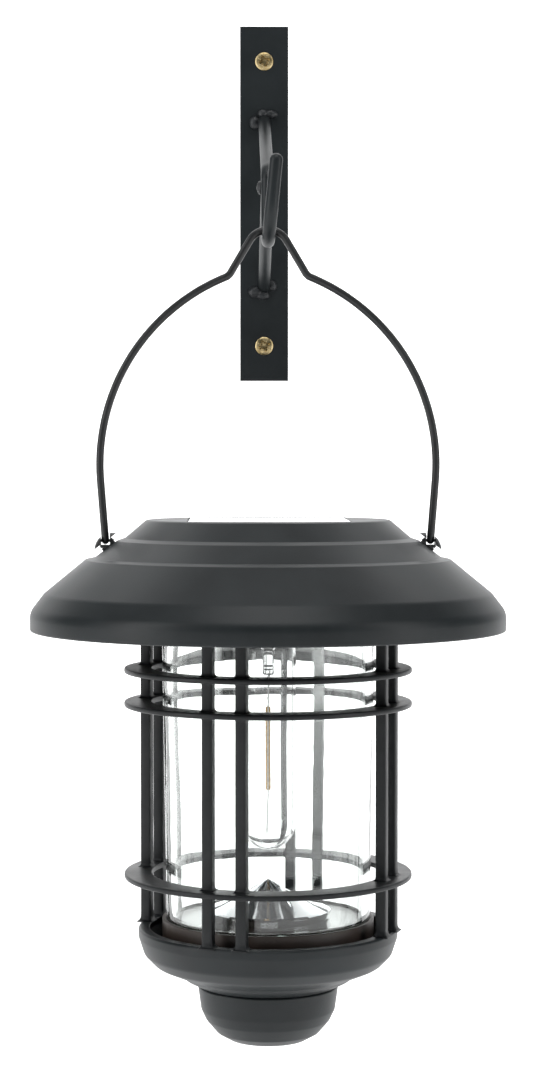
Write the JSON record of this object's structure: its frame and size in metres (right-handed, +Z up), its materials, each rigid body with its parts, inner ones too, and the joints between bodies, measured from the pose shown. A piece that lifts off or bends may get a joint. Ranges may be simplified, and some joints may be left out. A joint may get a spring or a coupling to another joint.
{
  "type": "hanging solar lantern with wall bracket",
  "caption": "Round solar lantern with a stepped cap, caged glass jar and wire bail, hanging from the hook of a screw-fixed wall bracket.",
  "frame": {"origin": "centre of the wall plate's back face, where it meets the wall", "axes": "+Y into the wall, +Z up, +X to the right seen from the front; the lantern hangs on the vertical line x = 0, y = -0.1"},
  "size_m": [0.1794, 0.2177, 0.4001],
  "materials": {
    "powder_black": "satin powder coat",
    "bail_black": "satin lacquered wire",
    "black_plastic": "matte",
    "brown_collar": "satin dark brown",
    "circuit_green": "satin solder mask",
    "lead_sleeve": "soft sleeve",
    "panel_glass": "clear cover glass",
    "jar_glass": "clear, faintly green where thick",
    "bulb_glass": "clear, thin",
    "solar_cell": "deep blue under glass",
    "battery_sleeve": "gloss sleeve",
    "filament": "amber phosphor coat",
    "brass_screw": "plated, slightly dulled",
    "steel": "plain",
    "bulb_cap": "spun",
    "reflector_chrome": "mirror",
    "gasket": "matte"
  },
  "bodies": {
    "bracket": {"wall_plate": "powder_black", "wall_screws": "brass_screw", "brace_rod": "powder_black", "hook_rod": "powder_black", "weld_beads": "powder_black"},
    "bail": {"bail_wire": "bail_black"},
    "head": {"cap_shell": "powder_black", "panel_glass": "panel_glass", "solar_cells": "solar_cell", "panel_backing": "black_plastic", "bail_post_left": "black_plastic", "bail_post_right": "black_plastic", "bail_pins": "steel", "base_plate": "black_plastic", "base_plate_screws": "steel", "battery_door": "black_plastic", "battery_door_screw": "steel", "battery_holder": "black_plastic", "battery_cell": "battery_sleeve", "battery_contact": "steel", "battery_spring": "steel", "switch_body": "black_plastic", "circuit_board": "circuit_green", "board_components": "black_plastic", "panel_leads": "lead_sleeve", "lamp_leads": "lead_sleeve", "battery_leads": "lead_sleeve", "switch_leads": "lead_sleeve", "lamp_socket": "black_plastic", "bulb_base": "bulb_cap", "bulb_envelope": "bulb_glass", "bulb_stem": "bulb_glass", "led_filament": "filament", "filament_wires": "steel", "jar_gasket": "gasket", "glass_jar": "jar_glass", "reflector": "reflector_chrome", "jar_collar": "brown_collar", "cage_bar_1": "powder_black", "cage_bar_2": "powder_black", "cage_bar_3": "powder_black", "cage_bar_4": "powder_black", "cage_bar_5": "powder_black", "cage_bar_6": "powder_black", "cage_bar_7": "powder_black", "cage_bar_8": "powder_black", "cage_flange": "powder_black", "cage_screws": "steel", "upper_ring": "powder_black", "middle_ring": "powder_black", "lower_ring": "powder_black", "base_bowl": "powder_black"},
    "switch": {"switch_slider": "black_plastic"},
    "finial": {"finial_cup": "powder_black"}
  },
  "joints": [
    {"name": "lantern_sway", "type": "hinge", "parent": "bracket", "child": "bail", "pos_m": [0, -0.1, -0.0279], "axis": [0, 1, 0], "range_deg": [-25, 25]},
    {"name": "bail_pivot", "type": "hinge", "parent": "bail", "child": "head", "pos_m": [0, -0.1, -0.13675], "axis": [1, 0, 0], "range_deg": [-90, 20]},
    {"name": "switch_slide", "type": "slide", "parent": "head", "child": "switch", "axis": [0, 1, 0], "range_m": [0, 0.003]},
    {"name": "finial_twist", "type": "hinge", "parent": "head", "child": "finial", "pos_m": [0, -0.1, -0.31], "axis": [0, 0, 1], "range_deg": [0, 60]}
  ]
}
